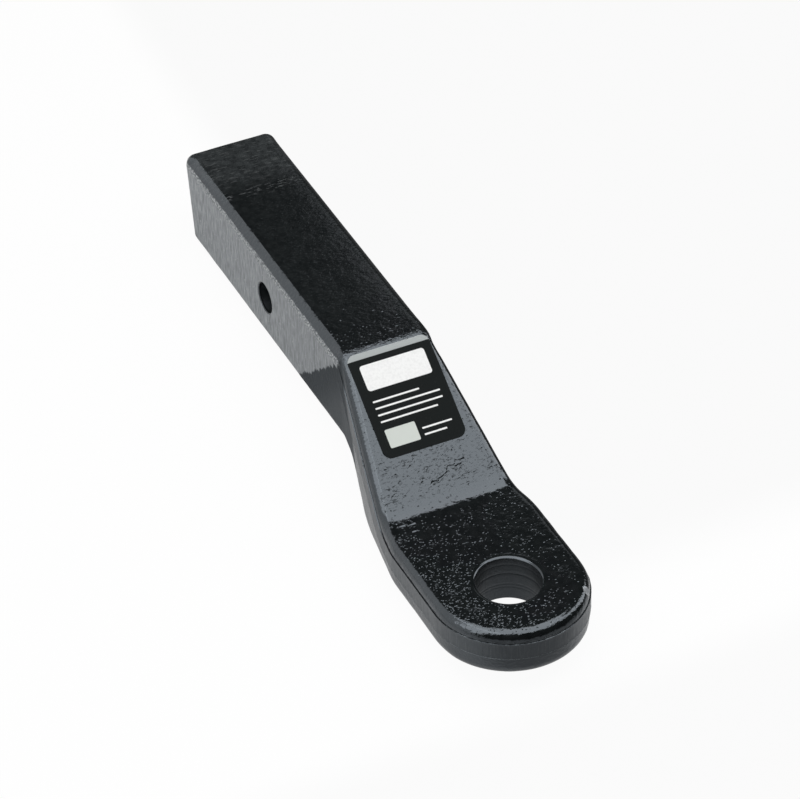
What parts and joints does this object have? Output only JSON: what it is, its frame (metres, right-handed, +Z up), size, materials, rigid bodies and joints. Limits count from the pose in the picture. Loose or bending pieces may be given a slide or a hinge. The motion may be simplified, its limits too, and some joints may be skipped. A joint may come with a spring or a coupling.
{
  "type": "hitch drawbar",
  "caption": "Forged steel hitch drawbar: square shank with a cross hole for a hitch pin, a gooseneck that drops and flares, and a flat round-nosed tongue with a ball hole.",
  "frame": {"origin": "centre of the hitch pin hole, on the shank's axis", "axes": "+X along the bar from the shank to the tongue, +Z up in use, +Y across the bar along the hitch pin hole"},
  "size_m": [0.3694, 0.08, 0.076],
  "materials": {
    "black_paint": "semi-gloss over a forged skin",
    "label_film": "satin"
  },
  "bodies": {
    "root": {"drawbar_forging": "black_paint", "label": "label_film"}
  },
  "joints": []
}
